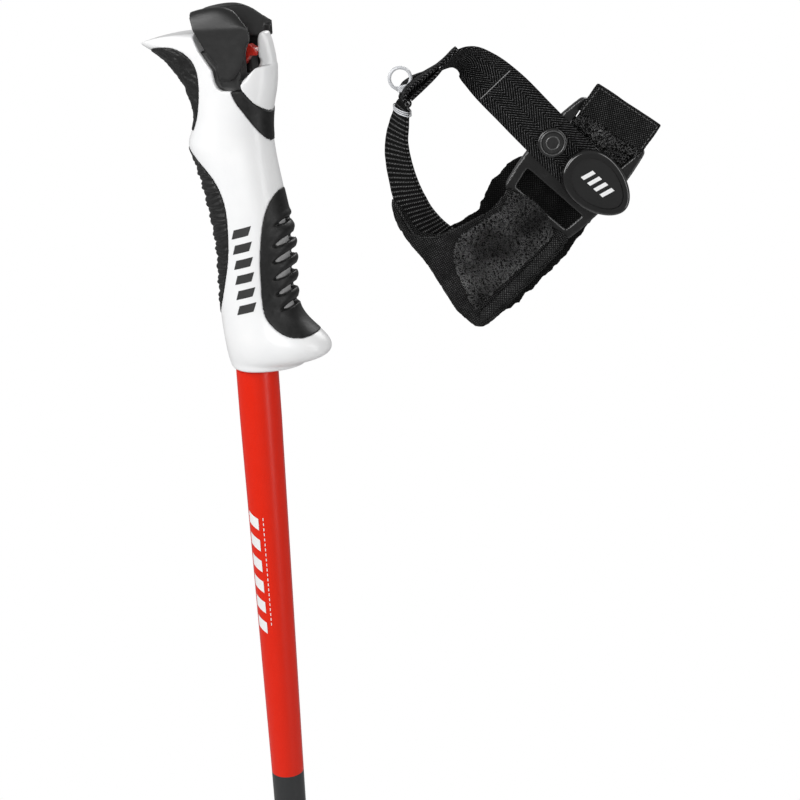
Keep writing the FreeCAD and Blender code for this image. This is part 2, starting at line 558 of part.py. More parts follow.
def build_strap():
    hardware, holes = build_hardware()
    thumb = ribbon(THUMB_PATH, WEB_WIDTH, WEB_THICK)
    loop_room = Part.makeCylinder(LOOP_ROOM_R, 2 * LOOP_ROOM_HALF, vec(*SWIVEL_AT, -LOOP_ROOM_HALF))
    thumb = thumb.cut(loop_room)
    for hole in holes:
        thumb = thumb.cut(hole)
    buckle = build_buckle()
    for hole in holes:
        buckle = buckle.cut(hole)
    swivel = Part.makeCylinder(PIN_R, 18, vec(*SWIVEL_AT, -9))
    fold = Part.makeCylinder(1.85, 17, vec(*SWIVEL_AT, -8.5))
    fold = fold.cut(Part.makeCylinder(PIN_R + RUN, 20, vec(*SWIVEL_AT, -10)))
    parts = {
        "thumb_webbing": thumb,
        "thumb_band": ribbon(BAND_PATH, WEB_WIDTH - 2, 1.8),
        "swivel_pin": swivel,
        "pin_fold": fold,
        "wrist_band": smooth_slab(WRIST_FRONT, 6.4, 8.4),
        "band_lining": smooth_slab(LINING, -7.5, -4.5),
        "loop_patch": smooth_slab(PATCH, 8.5, 9.6),
        "band_binding": slab(BINDING, 8.5, 9.2),
        "buckle_frame": buckle,
        "wrist_tab": slab(TAB, 7.5, 9.4),
        "hook_patch": slab(HOOKS, 6.6, 7.4),
        **hardware,
        **build_loop(),
    }
    return {name: placed(shape) for name, shape in parts.items()}


def main():
    os.makedirs("parts", exist_ok=True)
    parts = {}
    parts.update(build_shaft())
    parts.update(build_tip())
    parts.update(build_grip())
    parts.update(build_release())
    parts.update(build_strap())
    for name, shape in parts.items():
        shape.exportStep("parts/" + name + ".step")


main()
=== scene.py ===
import json
import math
import random

import bmesh
import bpy
from mathutils import Matrix, Vector, noise
from mathutils.bvhtree import BVHTree


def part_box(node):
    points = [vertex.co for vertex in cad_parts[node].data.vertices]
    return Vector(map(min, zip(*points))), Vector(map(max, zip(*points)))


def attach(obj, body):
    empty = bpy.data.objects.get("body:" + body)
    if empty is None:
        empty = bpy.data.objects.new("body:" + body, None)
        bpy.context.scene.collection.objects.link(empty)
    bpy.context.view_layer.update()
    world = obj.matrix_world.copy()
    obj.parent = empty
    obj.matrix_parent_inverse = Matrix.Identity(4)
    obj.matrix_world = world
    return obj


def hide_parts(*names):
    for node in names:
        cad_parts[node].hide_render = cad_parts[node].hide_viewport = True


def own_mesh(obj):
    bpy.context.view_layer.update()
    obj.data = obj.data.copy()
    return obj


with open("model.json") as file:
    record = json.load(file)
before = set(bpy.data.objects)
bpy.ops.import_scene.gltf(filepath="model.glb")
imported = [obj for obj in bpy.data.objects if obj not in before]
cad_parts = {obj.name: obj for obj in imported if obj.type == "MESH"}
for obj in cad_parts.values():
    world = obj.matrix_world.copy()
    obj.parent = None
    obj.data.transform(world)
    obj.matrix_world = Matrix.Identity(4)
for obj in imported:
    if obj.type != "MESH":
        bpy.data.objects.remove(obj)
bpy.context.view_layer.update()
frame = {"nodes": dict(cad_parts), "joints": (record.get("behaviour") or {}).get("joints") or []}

# ---------------------------------------------------------------- the frame's own places
MM = 0.001
TUBE_IN_GRIP = 0.095      # metres of tube inside the grip
CLOTH_FRAMES = 20         # length of the cloth run, in frames
GRIP_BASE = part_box("shaft_tube")[1].z - TUBE_IN_GRIP
JOINTS = {joint["name"]: joint for joint in frame["joints"]}
NEAR = Vector(JOINTS["strap_swing"]["axis"])
RIGHT = Vector((-NEAR.y, NEAR.x, 0.0))
SWIVEL = Vector(JOINTS["strap_swing"]["pos_m"])
STRAP_DEPTH = SWIVEL.dot(NEAR)
# Sizes and places from here to the camera are in millimetres.
LOOP_ROOM_R = 15.8        # the webbing is slit this far from the pin
LOOP_ROOM_HALF = 1.7      # half the width of that slit
LOOP_R = 4.3              # middle of the cord loop
CORD_R = 0.7
SHAFT_R = 9.0
TAPER_START = 24.0        # below the grip, where the tube starts to narrow
TAPER_LENGTH = 171.0
TAPER_LOSS = 1.65         # radius lost over that length
PRINT_LIFT = 0.04         # marks stand this far off the tube
PAINT_CHANGE = 195.0      # below the grip, where red turns to grey
LATCH_WELL = 118.0        # above the grip's foot, where the core turns dark
BAR_HEIGHT = 5.4          # printed bars on the tube
BAR_PITCH = 10
BAR_DROP = 2.6            # how far a bar falls across its width
TICK_HEIGHT = 1.3         # the fine tick line beside them
TICK_PITCH = 2.4
WRAP_PITCH = 0.75         # thread turns round the elastic band
WRAP_HALF_DEPTH = 3.4
WRAP_HALF_WIDTH = 9.6

# The camera: place in metres, turns in degrees, focal length in millimetres.
CAMERA_PLACE = (0.296659, -0.666307, 1.284877)
CAMERA_TURN = 19.292
CAMERA_DOWN = 19.278
CAMERA_ROLL = -2.806
FOCAL_LENGTH = 81
scene = bpy.context.scene


def strap(x, y, z=0.0):
    """Strap-plane millimetres to row-frame metres."""
    return RIGHT * (x * MM) + NEAR * (STRAP_DEPTH + z * MM) + Vector((0, 0, GRIP_BASE + y * MM))


def strap_local(point):
    """Row-frame metres to strap-plane millimetres."""
    return Vector((point.dot(RIGHT), point.z - GRIP_BASE, point.dot(NEAR) - STRAP_DEPTH)) / MM


def grip(x, y, z):
    """Millimetres from the foot of the grip to row-frame metres."""
    return Vector((x * MM, y * MM, GRIP_BASE + z * MM))


# ---------------------------------------------------------------- node helpers
class Shader:
    """Small wrapper for building one procedural material."""

    def __init__(self, name):
        self.material = bpy.data.materials.new(name)
        self.material.use_nodes = True
        self.tree = self.material.node_tree
        self.surface = self.tree.nodes["Principled BSDF"]

    def node(self, kind, settings=None, **inputs):
        made = self.tree.nodes.new(kind)
        for key, value in (settings or {}).items():
            setattr(made, key, value)
        for key, value in inputs.items():
            numbered = key[0] == "i" and key[1:].isdigit()
            socket = int(key[1:]) if numbered else key.replace("_", " ")
            self.feed(made, socket, value)
        return made

    def feed(self, target, key, value):
        socket = target.inputs[key]
        if isinstance(value, bpy.types.NodeSocket):
            self.tree.links.new(value, socket)
        else:
            socket.default_value = value

    def math(self, operation, first, second=0.0, third=0.0):
        made = self.node("ShaderNodeMath", {"operation": operation}, i0=first, i1=second)
        if operation in ("MULTIPLY_ADD", "SMOOTH_MIN", "SMOOTH_MAX"):
            self.feed(made, 2, third)
        return made.outputs[0]

    def place(self):
        return self.node("ShaderNodeTexCoord").outputs["Object"]

    def along(self, direction, origin=0.0):
        """Distance in metres along a fixed direction of the row frame."""
        dot = self.node("ShaderNodeVectorMath", {"operation": "DOT_PRODUCT"},
                        i0=self.place(), i1=tuple(direction))
        return self.math("SUBTRACT", dot.outputs["Value"], origin)

    def uv(self):
        split = self.node("ShaderNodeSeparateXYZ", i0=self.node("ShaderNodeTexCoord").outputs["UV"])
        return split.outputs[0], split.outputs[1]

    def noise(self, size, detail=3.0, rough=0.55, distort=0.0):
        made = self.node("ShaderNodeTexNoise", Scale=1.0 / size, Detail=detail, Roughness=rough,
                         Distortion=distort)
        self.feed(made, "Vector", self.place())
        return made.outputs["Fac"]

    def spread(self, value, low, high, out_low=0.0, out_high=1.0):
        made = self.node("ShaderNodeMapRange", i0=value, i1=low, i2=high, i3=out_low, i4=out_high)
        return made.outputs[0]

    def blend(self, share, first, second):
        made = self.node("ShaderNodeMix", {"data_type": "RGBA"})
        self.feed(made, "Factor", share)
        self.feed(made, 6, first)
        self.feed(made, 7, second)
        return made.outputs[2]

    def bump(self, height, depth, strength=1.0, under=None):
        made = self.node("ShaderNodeBump", Height=height, Distance=depth, Strength=strength)
        if under is not None:
            self.feed(made, "Normal", under)
        return made.outputs["Normal"]

    def set(self, **inputs):
        for key, value in inputs.items():
            self.feed(self.surface, key.replace("_", " "), value)
        return self.material


def colour(r, g=None, b=None):
    return (r, r if g is None else g, r if b is None else b, 1.0)


def wave(sh, value, pitch):
    """0..1 sine ridge with the given pitch in metres."""
    turned = sh.math("SINE", sh.math("MULTIPLY", value, 2 * math.pi / pitch))
    return sh.math("MULTIPLY_ADD", turned, 0.5, 0.5)


# ---------------------------------------------------------------- materials
def moulded(name, base, shade, rough, grain=0.35, depth=0.02, coat=0.0, spec=0.5):
    """Moulded plastic: slight colour drift, fine grain, roughness that varies with handling."""
    sh = Shader(name)
    drift = sh.noise(18 * MM, 2.0)
    fine = sh.noise(grain * MM, 4.0)
    scuff = sh.spread(sh.noise(3 * MM, 5.0, 0.7), 0.45, 0.75)
    tone = sh.blend(sh.spread(drift, 0.3, 0.7), base, shade)
    roughness = sh.math("MULTIPLY_ADD", scuff, 0.10, rough)
    return sh.set(Base_Color=tone, Roughness=roughness, Coat_Weight=coat, Coat_Roughness=0.12,
                  Specular_IOR_Level=spec, Normal=sh.bump(fine, depth * MM, 0.6))


def rubber(name):
    """Soft black rubber with a leathery grain; its colour carries a faint painted sheen on the crowns of the
    creases and painted shade in their hollows.
    """
    sh = Shader(name)
    grain = sh.noise(0.5 * MM, 5.0, 0.65)
    crease = sh.noise(2.2 * MM, 3.0, 0.6, 0.6)
    # painted shade and sheen: the colour follows the crease relief, darker in its hollows and lighter on its
    # crowns
    tone = sh.blend(sh.spread(crease, 0.35, 0.7), colour(0.003), colour(0.011))
    rough = sh.spread(grain, 0.3, 0.7, 0.36, 0.55)
    first = sh.bump(grain, 0.035 * MM, 0.6)
    return sh.set(Base_Color=tone, Roughness=rough, Specular_IOR_Level=0.36,
                  Normal=sh.bump(crease, 0.12 * MM, 0.4, first))


def core_plastic():
    """Pale grip core, dark in the well under the latch."""
    sh = Shader("core_plastic")
    deep = sh.math("GREATER_THAN", sh.along((0, 0, 1), GRIP_BASE), LATCH_WELL * MM)
    drift = sh.spread(sh.noise(18 * MM, 2.0), 0.3, 0.7)
    pale = sh.blend(drift, colour(0.55), colour(0.5))
    dark = sh.blend(drift, colour(0.008), colour(0.014))
    tone = sh.blend(deep, pale, dark)
    scuff = sh.spread(sh.noise(3 * MM, 5.0, 0.7), 0.45, 0.75, 0.45, 0.55)
    return sh.set(Base_Color=tone, Roughness=scuff, Normal=sh.bump(sh.noise(0.35 * MM, 4.0), 0.02 * MM, 0.6))


def shaft_lacquer():
    """Red lacquer over brushed tube, changing to dark grey lower down."""
    sh = Shader("shaft_lacquer")
    height = sh.along((0, 0, 1), GRIP_BASE)
    grey = sh.math("LESS_THAN", height, -PAINT_CHANGE * MM)
    flake = sh.noise(0.18 * MM, 2.0)
    red = sh.blend(sh.spread(flake, 0.3, 0.7), colour(0.60, 0.010, 0.0), colour(0.72, 0.016, 0.0))
    slate = sh.blend(sh.spread(flake, 0.3, 0.7), colour(0.022, 0.023, 0.024), colour(0.034, 0.035, 0.036))
    tone = sh.blend(grey, red, slate)
    wear = sh.noise(6 * MM, 5.0, 0.7)
    return sh.set(Base_Color=tone, Roughness=sh.spread(wear, 0.3, 0.8, 0.32, 0.46), Coat_Weight=0.1,
                  Specular_IOR_Level=0.3,
                  Coat_Roughness=0.18, Normal=sh.bump(sh.noise(0.9 * MM, 3.0), 0.01 * MM, 0.5))


def metal(name, base, rough):
    sh = Shader(name)
    brushed = sh.noise(0.3 * MM, 4.0, 0.7)
    return sh.set(Base_Color=base, Metallic=1.0, Roughness=sh.spread(brushed, 0.3, 0.7, rough, rough + 0.15),
                  Normal=sh.bump(brushed, 0.01 * MM, 0.5))


def herringbone(name):
    """Heavy webbing: slanted threads that turn back at each column, with painted highlights on their crowns.
    """
    sh = Shader(name)
    u, v = sh.uv()
    fold = sh.node("ShaderNodeMath", {"operation": "PINGPONG"}, i0=u, i1=5.0 * MM).outputs[0]
    slant = sh.math("MULTIPLY_ADD", fold, 1.25, v)
    counter = sh.math("MULTIPLY_ADD", fold, -1.25, v)
    thread = wave(sh, slant, 1.5 * MM)
    twist = wave(sh, counter, 0.9 * MM)
    height = sh.math("MULTIPLY_ADD", twist, 0.45, thread)
    fuzz = sh.noise(0.25 * MM, 2.0)
    # painted highlight: the colour brightens on the crowns of the threads, where the bump stands highest
    light = sh.math("MULTIPLY", sh.spread(height, 0.95, 1.42), sh.spread(fuzz, 0.38, 0.66, 0.05, 1.0))
    tone = sh.blend(light, colour(0.0005), colour(0.26, 0.26, 0.265))
    return sh.set(Base_Color=tone, Roughness=0.85, Specular_IOR_Level=0.12,
                  Normal=sh.bump(height, 0.45 * MM, 1.0))


def woven(name, pitch, dark, bright, slanted):
    """Plain weave in the strap plane; slanted turns the cloth's grain, in radians. The colour carries
    painted highlights on the crowns of the weave.
    """
    sh = Shader(name)
    across = RIGHT * math.cos(slanted) + Vector((0, 0, 1)) * math.sin(slanted)
    up = Vector((0, 0, 1)) * math.cos(slanted) - RIGHT * math.sin(slanted)
    weft = sh.math("SINE", sh.math("MULTIPLY", sh.along(across), 2 * math.pi / pitch))
    warp = sh.math("SINE", sh.math("MULTIPLY", sh.along(up), 2 * math.pi / pitch))
    height = sh.math("MULTIPLY_ADD", sh.math("MULTIPLY", weft, warp), 0.5, 0.5)
    patchy = sh.noise(5 * MM, 3.0)
    fuzz = sh.noise(0.3 * MM, 3.0)
    # painted highlight: the colour brightens from the dark base towards the bright colour on the crowns of
    # the weave
    light = sh.math("MULTIPLY", sh.spread(height, 0.5, 1.0), sh.spread(fuzz, 0.36, 0.68, 0.08, 1.0))
    light = sh.math("MULTIPLY", light, sh.spread(patchy, 0.3, 0.75, 0.35, 1.0))
    tone = sh.blend(light, colour(dark), colour(bright))
    return sh.set(Base_Color=tone, Roughness=0.85, Specular_IOR_Level=0.12,
                  Normal=sh.bump(height, 0.35 * pitch, 1.0))


def rib_knit(name):
    """Elastic band: close ribs across it, each made of small stitches, with painted highlights on their
    crowns.
    """
    sh = Shader(name)
    u, v = sh.uv()
    rib = wave(sh, v, 1.9 * MM)
    stitch = wave(sh, u, 1.1 * MM)
    height = sh.math("MULTIPLY_ADD", stitch, 0.5, rib)
    fuzz = sh.noise(0.25 * MM, 3.0)
    # painted highlight: the colour brightens on the crowns of the ribs and stitches
    light = sh.math("MULTIPLY", sh.spread(height, 1.0, 1.5), sh.spread(fuzz, 0.40, 0.66, 0.05, 1.0))
    tone = sh.blend(light, colour(0.0005), colour(0.30))
    return sh.set(Base_Color=tone, Roughness=0.85, Specular_IOR_Level=0.12,
                  Normal=sh.bump(height, 0.4 * MM, 1.0))


def pile(name):
    """Brushed loop fabric: black with bright specks where fibres catch the light."""
    sh = Shader(name)
    cells = sh.node("ShaderNodeTexVoronoi", Scale=1.0 / (0.7 * MM), Randomness=1.0)
    sh.feed(cells, "Vector", sh.place())
    fibre = sh.noise(0.35 * MM, 5.0, 0.75, 1.5)
    speck = sh.spread(fibre, 0.56, 0.70)
    tone = sh.blend(speck, colour(0.0005), colour(0.30))
    height = sh.math("MULTIPLY_ADD", cells.outputs["Distance"], -0.6, fibre)
    return sh.set(Base_Color=tone, Roughness=0.9, Specular_IOR_Level=0.1,
                  Normal=sh.bump(height, 0.6 * MM, 1.0))


def make_materials():
    white = colour(0.80, 0.80, 0.80)
    return {
        "white": moulded("white_plastic", white, colour(0.76, 0.765, 0.77), 0.30, coat=0.15),
        "core": core_plastic(),
        "rubber": rubber("grip_rubber"),
        "cap": moulded("cap_plastic", colour(0.010), colour(0.015), 0.36, 0.5, 0.03, spec=0.42),
        "red": moulded("latch_red", colour(0.70, 0.035, 0.02), colour(0.6, 0.03, 0.02), 0.25, coat=0.3),
        "shaft": shaft_lacquer(),
        "steel": metal("pin_steel", colour(0.55), 0.25),
        "buckle": moulded("buckle_plastic", colour(0.007), colour(0.011), 0.22, 0.5, 0.02, coat=0.25),
        "seam": moulded("seam_thread", colour(0.20), colour(0.28), 0.6, 0.3, 0.05),
        "fibre": moulded("pile_fibre", colour(0.02), colour(0.26), 0.45, 0.8, 0.01),
        "carbide": metal("tip_carbide", colour(0.30, 0.30, 0.31), 0.35),
        "black": moulded("black_plastic", colour(0.007), colour(0.012), 0.34, 0.4, 0.03),
        "gloss": moulded("black_gloss", colour(0.008), colour(0.010), 0.10, 0.5, 0.003, coat=0.6),
        "inlay": moulded("black_inlay", colour(0.005), colour(0.008), 0.5, 0.25, 0.03, spec=0.3),
        "lacquer": moulded("black_lacquer", colour(0.008), colour(0.012), 0.16, 0.5, 0.004, coat=0.5),
        "ink": moulded("dark_print", colour(0.02), colour(0.03), 0.4),
        "paint": moulded("white_print", colour(0.80), colour(0.76), 0.35),
        "cord": moulded("loop_cord", colour(0.72, 0.73, 0.75), colour(0.5, 0.51, 0.53), 0.25, 0.6, 0.05,
                        coat=0.4),
        "webbing": herringbone("webbing_weave"),
        "knit": rib_knit("band_knit"),
        # in each woven() call the last colour is the painted highlight on the weave crowns
        "shell": woven("band_shell_weave", 0.95 * MM, 0.001, 0.24, slanted=0.3),
        "lining": woven("lining_weave", 1.2 * MM, 0.001, 0.07, slanted=0.8),
        "tape": woven("tape_weave", 1.1 * MM, 0.006, 0.26, slanted=0.75),
        "tab": woven("tab_weave", 1.15 * MM, 0.001, 0.20, slanted=-0.6),
        "pile": pile("loop_pile"),
        "hooks": pile("hook_pile"),
        "ring": moulded("snap_ring", colour(0.07), colour(0.05), 0.14, 0.5, 0.003, coat=0.6),
        "thread": moulded("stitch_thread", colour(0.06), colour(0.11), 0.6, 0.3, 0.05),
    }


# ---------------------------------------------------------------- mesh helpers
def new_piece(name, mesh, material, body, *nodes):
    piece = bpy.data.objects.new(name, mesh)
    scene.collection.objects.link(piece)
    mesh.materials.clear()
    mesh.materials.append(material)
    mesh.shade_smooth()
    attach(piece, body)
    if nodes:
        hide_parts(*nodes)
    return piece


def bake(piece):
    """Replace the piece's mesh with its modified one."""
    graph = bpy.context.evaluated_depsgraph_get()
    made = bpy.data.meshes.new_from_object(piece.evaluated_get(graph))
    old = piece.data
    piece.modifiers.clear()
    piece.data = made
    bpy.data.meshes.remove(old)
    return made


def from_node(node, voxel, rounds):
    """A remeshed, softened copy of a CAD node's mesh, as a mesh with no owner."""
    return softened(frame["nodes"][node].data.copy(), voxel, rounds)


def softened(data, voxel, rounds):
    """Evenly remeshed and smoothed version of a mesh, which it uses up."""
    scratch = bpy.data.objects.new("scratch", data)
    scene.collection.objects.link(scratch)
    tidy = bmesh.new()
    tidy.from_mesh(data)
    bmesh.ops.remove_doubles(tidy, verts=tidy.verts, dist=1e-6)
    tidy.to_mesh(data)
    tidy.free()
    remesh = scratch.modifiers.new("remesh", "REMESH")
    remesh.mode = "VOXEL"
    remesh.voxel_size = voxel * MM
    soften = scratch.modifiers.new("soften", "SMOOTH")
    soften.factor = 0.5
    soften.iterations = rounds
    mesh = bake(scratch)
    bpy.data.objects.remove(scratch)
    return mesh


def push(mesh, height):
    """Move each vertex along its normal by height(position, normal), in metres."""
    moves = [vertex.normal * height(vertex.co, vertex.normal) for vertex in mesh.vertices]
    for vertex, move in zip(mesh.vertices, moves):
        vertex.co += move


def smooth_step(value):
    value = max(0.0, min(1.0, value))
    return value * value * (3 - 2 * value)


# ---------------------------------------------------------------- grip
def finger_ribs(point, normal):
    """Uneven slanted ridges across the finger pad."""
    x, y, z = point.x / MM, point.y / MM, (point.z - GRIP_BASE) / MM
    outward = max(0.0, -normal.x * 0.8 + abs(normal.y) * 0.45)
    wobble = noise.noise(Vector((x, y, z)) * 0.12) * 1.6
    phase = z - 0.35 * x + wobble
    broad = math.sin(2 * math.pi * phase / 6.8)
    fine = abs(math.sin(math.pi * (phase + 0.5 * noise.noise(Vector((x, y, z)) * 0.3)) / 2.4))
    fade = smooth_step((z - 26) / 8) * smooth_step((94 - z) / 8)
    return (0.34 * broad + 0.75 * (fine - 0.6)) * outward * fade * MM


def beak_wrinkles(point, normal):
    """Leathery creases under the beak."""
    x, y, z = point.x / MM, point.y / MM, (point.z - GRIP_BASE) / MM
    outward = max(0.0, -normal.x * 0.7 + abs(normal.y) * 0.5 - normal.z * 0.4)
    place = Vector((x * 0.20, y * 0.24, z * 0.34))
    fold = 1.0 - abs(noise.noise(place + Vector((3, 7, 1)) * 1.0)) * 2.4
    crease = 1.0 - abs(noise.noise(place * 2.3)) * 2.2
    return (0.42 * fold + 0.16 * crease - 0.35) * outward * MM


def palm_bulge(point, normal):
    """Each strip between the vents swells out towards the back."""
    x, z = point.x / MM, (point.z - GRIP_BASE) / MM
    along = z - 0.62 * (x - 15.0)
    reach = smooth_step((x - 12.5) / 5.5) * smooth_step((along - 24) / 4) * smooth_step((68 - along) / 4)
    strip = 0.5 - 0.5 * math.cos(2 * math.pi * (along - 34.6) / 7.0)
    outward = max(0.0, normal.x)
    return (1.0 * strip - 0.25) * reach * outward * MM


def build_grip(mats):
    fine = 0.5
    shell = from_node("grip_shell", fine, 4)
    new_piece("grip_shell_skin", shell, mats["white"], "pole", "grip_shell")
    new_piece("grip_core_skin", from_node("grip_core", fine, 3), mats["core"], "pole", "grip_core")
    new_piece("hook_skin", from_node("hook_horn", fine * 0.8, 9), mats["white"], "pole", "hook_horn")
    reliefs = {"beak_pad": beak_wrinkles, "finger_pad": finger_ribs, "palm_pad": palm_bulge, "web_pad": None}
    for node, relief in reliefs.items():
        mesh = from_node(node, fine * 0.8, 3)
        if relief:
            push(mesh, relief)
        new_piece(node + "_skin", mesh, mats["rubber"], "pole", node)
    cap = from_node("release_cap", fine * 0.8, 6)
    new_piece("release_cap_skin", cap, mats["cap"], "cap", "release_cap")
    new_piece("latch_skin", from_node("latch", fine * 0.5, 4), mats["red"], "latch", "latch")
    build_spring(mats)
    return shell


def build_spring(mats):
    """The cap's coil spring, a steel copy of its CAD mesh held on the pole."""
    mesh = frame["nodes"]["cap_spring"].data.copy()
    coil = new_piece("cap_spring_coil", mesh, mats["steel"], "pole", "cap_spring")
    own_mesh(coil)


# ---------------------------------------------------------------- shaft
def shaft_radius(depth):
    """Outside radius in mm at a depth in mm below the grip, above the grey length."""
    return SHAFT_R - max(0.0, depth - TAPER_START) * TAPER_LOSS / TAPER_LENGTH


def patch_mesh(name, cells):
    """A sheet of quads; cells holds the rows of points of each mark."""
    verts, faces = [], []
    for mark in cells:
        rows, cols = len(mark), len(mark[0])
        first = len(verts)
        verts += [point for row in mark for point in row]
        for i in range(rows - 1):
            for j in range(cols - 1):
                corner = first + i * cols + j
                faces.append((corner, corner + 1, corner + cols + 1, corner + cols))
    mesh = bpy.data.meshes.new(name)
    mesh.from_pydata(verts, [], faces)
    mesh.update()
    return mesh


def shaft_mark(turn0, turn1, depth0, depth1, drop=0.0):
    """One block printed on the tube, in degrees round it and mm below the grip; drop slants it."""
    rows = []
    for i in range(9):
        depth = depth0 + (depth1 - depth0) * i / 8
        radius = shaft_radius(depth) + PRINT_LIFT
        row = []
        for j in range(9):
            turn = math.radians(turn0 + (turn1 - turn0) * j / 8)
            row.append(grip(radius * math.cos(turn), radius * math.sin(turn), -depth - drop * j / 8))
        rows.append(row)
    return rows


def build_shaft_marks(mats):
    """Plain slanted bars and a fine tick line, printed on the tube."""
    bars = [shaft_mark(222, 262, depth, depth + BAR_HEIGHT, BAR_DROP) for depth in range(64, 124, BAR_PITCH)]
    new_piece("shaft_bars", patch_mesh("shaft_bars", bars), mats["paint"], "pole")
    tops = [66 + TICK_PITCH * k for k in range(22)]
    ticks = [shaft_mark(276, 278.5, top, top + TICK_HEIGHT) for top in tops]
    new_piece("shaft_ticks", patch_mesh("shaft_ticks", ticks), mats["paint"], "pole")


def printed(tree, corners, steps=10):
    """One four-cornered mark laid onto the grip's near side; corners are (x, z) in mm."""
    inward = Vector((0, 1, 0))
    a, b, c, d = [Vector(corner) for corner in corners]
    rows = []
    for i in range(steps + 1):
        row = []
        for j in range(steps + 1):
            place = a.lerp(b, j / steps).lerp(d.lerp(c, j / steps), i / steps)
            hit = tree.ray_cast(grip(place.x, -80, place.y), inward)[0]
            row.append(hit - inward * (0.07 * MM))
        rows.append(row)
    return rows


def build_grip_marks(mats, shell):
    """Plain slanted bars up the near side of the grip."""
    tree = surface_tree(shell)
    bars = []
    for k in range(6):
        foot = 27 + 6.4 * k
        corners = [(-1, foot), (6.5, foot + 2), (7.9, foot + 6), (0.4, foot + 4)]
        bars.append(printed(tree, corners))
    new_piece("grip_bars", patch_mesh("grip_bars", bars), mats["ink"], "pole")


# ---------------------------------------------------------------- straps
def curve_through(points, steps):
    """Catmull-Rom samples through points of any dimension."""
    out = []
    last = len(points) - 1
    for i in range(last):
        quad = [points[max(0, i - 1)], points[i], points[i + 1], points[min(last, i + 2)]]
        for k in range(steps):
            t = k / steps
            out.append(tuple(0.5 * ((2 * b) + (c - a) * t + (2 * a - 5 * b + 4 * c - d) * t * t
                                    + (3 * b - a - 3 * c + d) * t ** 3) for a, b, c, d in zip(*quad)))
    out.append(tuple(points[-1]))
    return out


def ribbon(name, stations, width, thick, ripple=0.12, steps=14, count=28):
    """Flat strap swept through (x, y, z, roll in degrees) stations, with UVs in metres."""
    path = curve_through(stations, steps)
    half_w, half_t = width / 2, thick / 2
    profile = []
    for side in (1, -1):
        for k in range(count + 1):
            s = (2 * k / count - 1) * side
            round_off = max(0.0, (abs(s) * half_w - half_w + half_t) / half_t)
            profile.append((s * half_w, side * half_t * math.sqrt(max(0.02, 1 - round_off ** 2))))
    ring = len(profile)
    verts, faces, lengths = [], [], []
    run = 0.0
    for i, (x, y, z, roll) in enumerate(path):
        a = Vector(path[max(0, i - 1)][:3])
        b = Vector(path[min(len(path) - 1, i + 1)][:3])
        if i:
            run += (Vector(path[i][:3]) - Vector(path[i - 1][:3])).length
        lengths.append(run)
        along = (b - a).normalized()
        flat = Vector((-along.y, along.x, 0)).normalized()
        turn = math.radians(roll)
        across = Vector((0, 0, 1)) * math.cos(turn) + flat * math.sin(turn)
        through = along.cross(across).normalized()
        for s, t in profile:
            place = Vector((x, y, z)) + across * s + through * t
            wave_height = noise.noise(place * 0.09) * ripple * 2 + noise.noise(place * 0.35) * ripple * 0.5
            place += through * wave_height
            verts.append(strap(*place))
    for i in range(len(path) - 1):
        for k in range(ring):
            n = (k + 1) % ring
            faces.append((i * ring + k, i * ring + n, (i + 1) * ring + n, (i + 1) * ring + k))
    last = (len(path) - 1) * ring
    for k in range(count):
        faces.append((k + 1, k, ring - 1 - k, ring - 2 - k))
        faces.append((last + k, last + k + 1, last + ring - 2 - k, last + ring - 1 - k))
    mesh = bpy.data.meshes.new(name)
    mesh.from_pydata(verts, [], faces)
    mesh.update()
    layer = mesh.uv_layers.new(name="UVMap")
    for poly in mesh.polygons:
        for loop in poly.loop_indices:
            index = mesh.loops[loop].vertex_index
            station, k = divmod(index, ring)
            layer.data[loop].uv = ((profile[k][0] + half_w) * MM, lengths[station] * MM)
    fix = bmesh.new()
    fix.from_mesh(mesh)
    bmesh.ops.recalc_face_normals(fix, faces=fix.faces)
    fix.to_mesh(mesh)
    fix.free()
    return mesh


def tube(name, path, radius, sides=10, closed=False):
    """Round cord through row-frame points."""
    verts, faces = [], []
    count = len(path)
    normal = None
    for i, point in enumerate(path):
        before = path[(i - 1) % count] if closed or i else path[0]
        after = path[(i + 1) % count] if closed or i < count - 1 else path[-1]
        along = (after - before).normalized()
        if normal is None:
            normal = along.orthogonal().normalized()
        normal = (normal - along * normal.dot(along)).normalized()
        other = along.cross(normal)
        for k in range(sides):
            turn = 2 * math.pi * k / sides
            verts.append(point + (normal * math.cos(turn) + other * math.sin(turn)) * radius)
    for i in range(count if closed else count - 1):
        j = (i + 1) % count
        for k in range(sides):
            n = (k + 1) % sides
            faces.append((i * sides + k, i * sides + n, j * sides + n, j * sides + k))
    if not closed:
        faces.append(tuple(reversed(range(sides))))
        faces.append(tuple(range((count - 1) * sides, count * sides)))
    mesh = bpy.data.meshes.new(name)
    mesh.from_pydata(verts, [], faces)
    mesh.update()
    return mesh


def densely(corners, step):
    """Points every step mm along straight runs between (x, y) corners."""
    out = []
    for a, b in zip(corners, corners[1:]):
        a, b = Vector(a), Vector(b)
        count = max(1, round((b - a).length / step))
        out += [tuple(a.lerp(b, k / count)) for k in range(count)]
    return out + [tuple(corners[-1])]


def joined(name, meshes):
    """One mesh holding several."""
    whole = bmesh.new()
    for mesh in meshes:
        whole.from_mesh(mesh)
        bpy.data.meshes.remove(mesh)
    out = bpy.data.meshes.new(name)
    whole.to_mesh(out)
    whole.free()
    return out


def surface_tree(mesh):
    return BVHTree.FromPolygons([v.co for v in mesh.vertices], [p.vertices for p in mesh.polygons])


def surface_height(tree, x, y, fallback):
    """Strap-plane height of the nearest-to-viewer surface over (x, y)."""
    hit = tree.ray_cast(strap(x, y, 30), -NEAR)
    return fallback if hit[0] is None else strap_local(hit[0]).z


